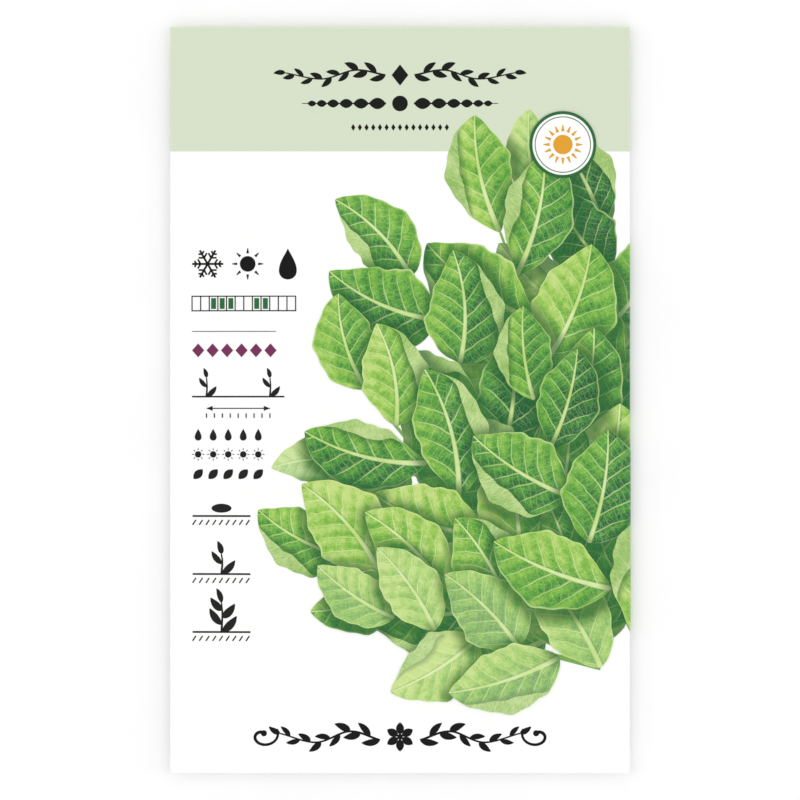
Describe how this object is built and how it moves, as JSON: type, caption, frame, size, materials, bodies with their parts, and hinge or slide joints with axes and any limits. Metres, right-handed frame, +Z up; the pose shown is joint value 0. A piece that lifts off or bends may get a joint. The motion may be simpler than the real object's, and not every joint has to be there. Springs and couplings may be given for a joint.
{
  "type": "paper seed packet",
  "caption": "Flat sealed paper seed packet with a printed front, a pale green header band, flaps glued on its back and loose lettuce seeds inside.",
  "frame": {"origin": "on the surface that the packet lies on, under the middle of its outline", "axes": "+X across the packet to the right of its printed front, +Y towards the packet's top edge and header band, +Z up, out of the printed front"},
  "size_m": [0.0826, 0.134, 0.0033],
  "materials": {
    "coated_paper": "satin coated printing paper, white, printed in greens",
    "dried_glue": "thin dried adhesive, slightly yellow and translucent",
    "seed_husk": "dry ribbed seed husk, matt, greyish straw"
  },
  "bodies": {
    "root": {"packet_paper": "coated_paper", "glue_side_seam": "dried_glue", "glue_top_flap": "dried_glue", "glue_bottom_flap": "dried_glue", "lettuce_seeds": "seed_husk"}
  },
  "joints": []
}
